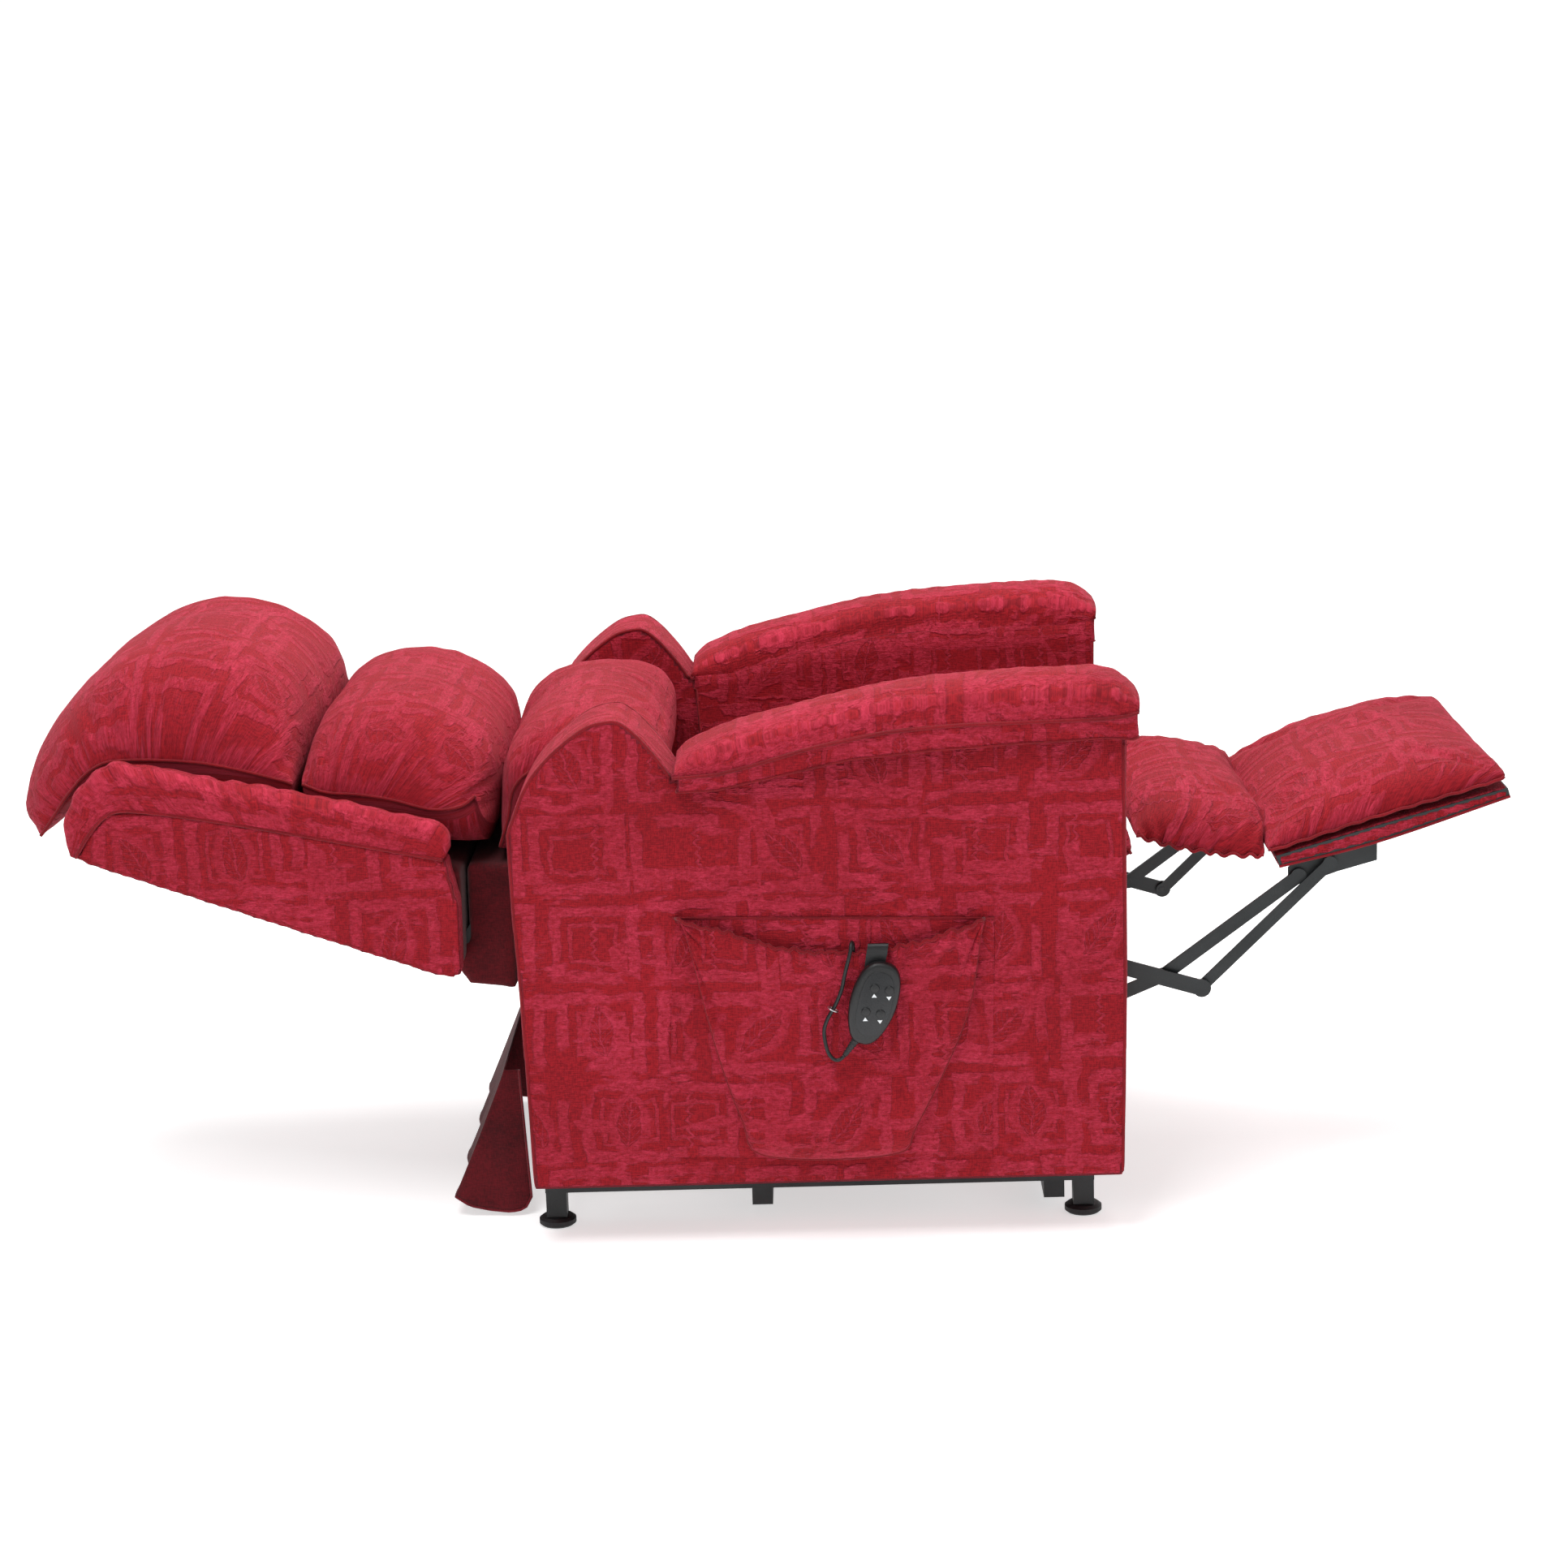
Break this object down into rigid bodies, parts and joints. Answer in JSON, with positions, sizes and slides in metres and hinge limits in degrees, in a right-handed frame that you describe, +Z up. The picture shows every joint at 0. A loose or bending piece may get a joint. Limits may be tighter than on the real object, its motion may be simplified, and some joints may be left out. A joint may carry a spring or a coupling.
{
  "type": "riser recliner chair",
  "caption": "Upholstered powered lift-and-recline armchair with folding legrest, reclining back, seat-lift base, side pocket and wired handset, stored fully reclined.",
  "frame": {"origin": "on the floor, below the centre of the reclined chair's bounding box", "axes": "+X the way the occupant faces, -Y the occupant's right-hand side with the pocket and handset, +Z up"},
  "size_m": [1.788, 0.7835, 0.721],
  "materials": {
    "upholstery": "two-tone red figured chenille, soft matt",
    "arm_pad_fabric": "two-tone red figured chenille, soft matt",
    "lining": "plain dark maroon lining cloth",
    "frame_steel": "black powder coat",
    "link_steel": "satin black paint",
    "bright_steel": "zinc plated",
    "timber": "planed softwood",
    "foam": "foam and webbing",
    "black_plastic": "fine matt moulding",
    "button_plastic": "smooth moulding",
    "cord_jacket": "smooth matt jacket"
  },
  "bodies": {
    "base": {"base_side_rails": "frame_steel", "base_cross_tubes": "frame_steel", "base_legs": "frame_steel", "glide_feet": "black_plastic", "lift_arm_pins": "bright_steel", "transformer_box": "black_plastic", "mains_inlet": "black_plastic", "lift_actuator_lug": "link_steel"},
    "lift_arms": {"lift_arms_rear": "link_steel", "lift_torsion_tube": "link_steel", "lift_crank": "link_steel"},
    "front_lift_arms": {"lift_arms_front": "link_steel"},
    "lift_actuator": {"lift_actuator_body": "black_plastic"},
    "lift_rod": {"lift_actuator_rod": "bright_steel"},
    "chassis": {"hanger_plates": "link_steel", "seat_side_plates": "link_steel", "chassis_cross_front": "link_steel", "chassis_cross_rear": "link_steel", "seat_rail_front": "timber", "seat_rail_rear": "timber", "seat_springs": "bright_steel", "seat_cushion": "upholstery", "arm_inner_panels": "upholstery", "arm_outer_panels": "upholstery", "arm_front_boards": "upholstery", "arm_top_rails": "timber", "arm_ear_wraps": "upholstery", "arm_pads": "arm_pad_fabric", "rear_panel": "lining", "rear_valance": "lining", "pocket_backing": "upholstery", "pocket_bag": "upholstery", "handset_strap": "black_plastic", "handset_body": "black_plastic", "handset_strain_relief": "cord_jacket", "handset_cord": "cord_jacket", "cord_grommet": "black_plastic", "cord_ring": "black_plastic"},
    "button_up": {"button_1": "button_plastic"},
    "button_down": {"button_2": "button_plastic"},
    "button_back": {"button_3": "button_plastic"},
    "button_legs": {"button_4": "button_plastic"},
    "back": {"back_hinge_plates": "link_steel", "back_cross_rails": "timber", "back_side_panels": "upholstery", "back_bolsters": "upholstery", "back_rear_panel": "lining", "back_foam_deck": "foam", "back_skirt": "lining", "back_pillows": "upholstery", "back_crank": "link_steel"},
    "back_actuator": {"back_actuator_body": "black_plastic"},
    "back_rod": {"back_actuator_rod": "bright_steel"},
    "legrest_links": {"legrest_main_links": "link_steel"},
    "legrest_control": {"legrest_control_links": "link_steel"},
    "legrest_upper": {"legrest_upper_links": "link_steel"},
    "legrest_stay": {"legrest_stay_links": "link_steel"},
    "footrest": {"footrest": "link_steel", "footrest_pad": "upholstery"},
    "calf": {"calf_pad": "upholstery"}
  },
  "joints": [
    {"name": "lift", "type": "hinge", "parent": "base", "child": "lift_arms", "pos_m": [0.25, 0, 0.06], "axis": [0, 1, 0], "range_deg": [0, 42.3]},
    {"name": "chassis_tilt", "type": "hinge", "parent": "lift_arms", "child": "chassis", "pos_m": [-0.15, 0, 0.15], "axis": [0, 1, 0], "range_deg": [-17.5, 0.1]},
    {"name": "front_lift_arm", "type": "hinge", "parent": "base", "child": "front_lift_arms", "pos_m": [0.357, 0, 0.06], "axis": [0, 1, 0], "range_deg": [-0.1, 47]},
    {"name": "lift_actuator_tilt", "type": "hinge", "parent": "base", "child": "lift_actuator", "pos_m": [-0.009, 0, 0.062], "axis": [0, 1, 0], "range_deg": [-0.1, 2.4]},
    {"name": "lift_actuator_stroke", "type": "slide", "parent": "lift_actuator", "child": "lift_rod", "axis": [0.9369, 0, 0.3496], "range_m": [-0.0005, 0.07]},
    {"name": "back_recline", "type": "hinge", "parent": "chassis", "child": "back", "pos_m": [-0.13, 0, 0.425], "axis": [0, 1, 0], "range_deg": [0, 58]},
    {"name": "back_actuator_tilt", "type": "hinge", "parent": "chassis", "child": "back_actuator", "pos_m": [0.23, 0, 0.25], "axis": [0, 1, 0], "range_deg": [-0.1, 6]},
    {"name": "back_actuator_stroke", "type": "slide", "parent": "back_actuator", "child": "back_rod", "axis": [-0.9853, 0, 0.1708], "range_m": [-0.0005, 0.1]},
    {"name": "legrest", "type": "hinge", "parent": "chassis", "child": "legrest_links", "pos_m": [0.3088, 0, 0.3374], "axis": [0, 1, 0], "range_deg": [0, 80]},
    {"name": "legrest_control_pivot", "type": "hinge", "parent": "chassis", "child": "legrest_control", "pos_m": [0.25, 0, 0.288], "axis": [0, 1, 0], "range_deg": [-0.1, 81.5]},
    {"name": "legrest_upper_pivot", "type": "hinge", "parent": "legrest_links", "child": "legrest_upper", "pos_m": [0.481, 0, 0.285], "axis": [0, 1, 0], "range_deg": [-112.2, 0.1]},
    {"name": "legrest_stay_pivot", "type": "hinge", "parent": "legrest_links", "child": "legrest_stay", "pos_m": [0.527, 0, 0.271], "axis": [0, 1, 0], "range_deg": [-102, 0.1]},
    {"name": "footrest_pivot", "type": "hinge", "parent": "legrest_upper", "child": "footrest", "pos_m": [0.644, 0, 0.4045], "axis": [0, 1, 0], "range_deg": [-0.1, 135.5]},
    {"name": "calf_flap", "type": "hinge", "parent": "chassis", "child": "calf", "pos_m": [0.44, 0, 0.452], "axis": [0, 1, 0], "range_deg": [-0.1, 95.5], "deforming": ["calf_pad"]},
    {"name": "press_up", "type": "slide", "parent": "chassis", "child": "button_up", "axis": [0, 1, 0], "range_m": [0, 0.0015], "stiffness_N_per_m": 600},
    {"name": "press_down", "type": "slide", "parent": "chassis", "child": "button_down", "axis": [0, 1, 0], "range_m": [0, 0.0015], "stiffness_N_per_m": 600},
    {"name": "press_back", "type": "slide", "parent": "chassis", "child": "button_back", "axis": [0, 1, 0], "range_m": [0, 0.0015], "stiffness_N_per_m": 600},
    {"name": "press_legs", "type": "slide", "parent": "chassis", "child": "button_legs", "axis": [0, 1, 0], "range_m": [0, 0.0015], "stiffness_N_per_m": 600}
  ],
  "couplings": [
    {"joint": "chassis_tilt", "follows": "lift", "ratio": -0.409},
    {"joint": "front_lift_arm", "follows": "lift", "ratio": 1.104},
    {"joint": "lift_actuator_tilt", "follows": "lift", "ratio": 0.0532},
    {"joint": "lift_actuator_stroke", "follows": "lift", "m_per_rad": 0.0913},
    {"joint": "back_actuator_tilt", "follows": "back_recline", "ratio": 0.1007},
    {"joint": "back_actuator_stroke", "follows": "back_recline", "m_per_rad": 0.0972},
    {"joint": "legrest_control_pivot", "follows": "legrest", "ratio": 1.0125},
    {"joint": "legrest_upper_pivot", "follows": "legrest", "ratio": -1.3987},
    {"joint": "legrest_stay_pivot", "follows": "legrest", "ratio": -1.27},
    {"joint": "footrest_pivot", "follows": "legrest", "ratio": 1.6875},
    {"joint": "calf_flap", "follows": "legrest", "ratio": 1.19}
  ]
}
